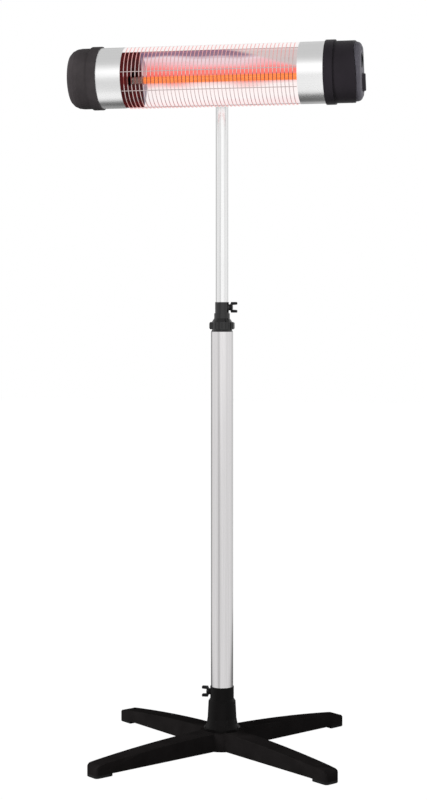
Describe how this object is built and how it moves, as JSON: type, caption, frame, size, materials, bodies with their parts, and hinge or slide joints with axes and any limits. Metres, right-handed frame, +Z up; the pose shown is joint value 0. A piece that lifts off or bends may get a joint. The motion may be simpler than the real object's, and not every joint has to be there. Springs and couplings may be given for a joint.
{
  "type": "floor-standing infrared patio heater",
  "caption": "Infrared heater head with a wire guard over a glowing lamp, tilting on a telescopic pole with wing screws and a four-armed cross base.",
  "frame": {"origin": "on the floor, at the middle of the pole", "axes": "+Z up the pole, +X along the head towards the controls, -Y the way the heater faces"},
  "size_m": [0.6559, 0.5796, 1.5774],
  "materials": {
    "base_black": "satin powder coat",
    "socket_black": "satin moulded plastic",
    "collar_black": "satin moulded plastic",
    "screw_black": "moulded plastic wings on a steel screw",
    "pad_rubber": "matt",
    "tube_silver": "satin anodised",
    "tube_pale": "satin anodised, paler",
    "inner_plastic": "matt",
    "fastener_steel": "zinc plated",
    "head_silver": "satin anodised",
    "bracket_dark": "satin",
    "casting_dark": "painted casting",
    "cap_charcoal": "fine textured",
    "cap_black": "fine textured",
    "panel_grey": "satin",
    "control_black": "semi-gloss",
    "reflector_bright": "bright rolled",
    "shield_sheet": "mill finish",
    "wire_chrome": "bright plated wire",
    "lamp_glass": "clear quartz, glowing orange",
    "filament": "glowing flat coil",
    "ceramic": "unglazed",
    "holder_dark": "dark heat-resistant coat",
    "terminal_white": "matt"
  },
  "bodies": {
    "stand": {"base_cross": "base_black", "foot_pad_1": "pad_rubber", "foot_pad_2": "pad_rubber", "foot_pad_3": "pad_rubber", "foot_pad_4": "pad_rubber", "pole_socket": "socket_black", "clamp_plate": "fastener_steel", "centre_bolt": "fastener_steel", "tube_plug": "shield_sheet", "outer_tube": "tube_silver", "collar_sleeve": "collar_black", "clamp_cap": "collar_black"},
    "pole": {"inner_tube": "tube_pale", "guide_retainer": "fastener_steel", "inner_end_plug": "inner_plastic", "pole_head": "casting_dark", "hinge_spacers": "inner_plastic", "hinge_washers": "fastener_steel", "tilt_bolt": "fastener_steel"},
    "head": {"backing_plate": "fastener_steel", "bracket_screws": "fastener_steel", "cable_gland": "inner_plastic", "cap_screws": "fastener_steel", "control_panel": "panel_grey", "grille": "wire_chrome", "head_bracket": "bracket_dark", "heat_shield": "shield_sheet", "housing": "head_silver", "lamp_ends": "ceramic", "lamp_filament": "filament", "lamp_holders": "holder_dark", "lamp_tube": "lamp_glass", "left_cap": "cap_charcoal", "panel_screws": "fastener_steel", "reflector": "reflector_bright", "reflector_end_left": "reflector_bright", "reflector_end_right": "reflector_bright", "right_cap": "cap_black", "rocker_switch": "control_black", "rotary_switch": "terminal_white", "thermal_cutout": "ceramic"},
    "lower_screw": {"lower_wing_screw": "screw_black"},
    "upper_screw": {"upper_wing_screw": "screw_black"},
    "collar_nut": {"lock_nut": "collar_black"},
    "guide": {"pole_guide": "inner_plastic"},
    "hinge_knob": {"tilt_knob": "screw_black"},
    "heat_control": {"control_knob": "control_black", "control_shaft": "fastener_steel"},
    "rocker": {"rocker_button": "control_black"}
  },
  "joints": [
    {"name": "pole_slide", "type": "slide", "parent": "stand", "child": "guide", "axis": [0, 0, 1], "range_m": [-0.4, 0.25]},
    {"name": "pole_turn", "type": "hinge", "parent": "guide", "child": "pole", "pos_m": [0, 0, 0.62], "axis": [0, 0, 1], "continuous": true},
    {"name": "head_tilt", "type": "hinge", "parent": "pole", "child": "head", "pos_m": [0, -0.03625, 1.53031], "axis": [1, 0, 0], "range_deg": [-21, 24]},
    {"name": "lower_screw_turn", "type": "hinge", "parent": "stand", "child": "lower_screw", "pos_m": [-0.0298, 0, 0.13], "axis": [1, 0, 0], "range_deg": [0, 360]},
    {"name": "upper_screw_turn", "type": "hinge", "parent": "stand", "child": "upper_screw", "pos_m": [0.0187, 0, 0.997], "axis": [1, 0, 0], "range_deg": [0, 360]},
    {"name": "collar_nut_turn", "type": "hinge", "parent": "stand", "child": "collar_nut", "pos_m": [0, 0, 0.9555], "axis": [0, 0, 1], "range_deg": [0, 180]},
    {"name": "hinge_knob_turn", "type": "hinge", "parent": "pole", "child": "hinge_knob", "pos_m": [0, -0.03625, 1.53031], "axis": [1, 0, 0], "range_deg": [0, 360]},
    {"name": "heat_control_turn", "type": "hinge", "parent": "head", "child": "heat_control", "pos_m": [0.327, -0.09838, 1.4829], "axis": [1, 0, 0], "range_deg": [-135, 0]},
    {"name": "rocker_press", "type": "hinge", "parent": "head", "child": "rocker", "pos_m": [0.3266, -0.11594, 1.52864], "axis": [0, 0.9336, 0.3584], "range_deg": [-14, 0]}
  ]
}
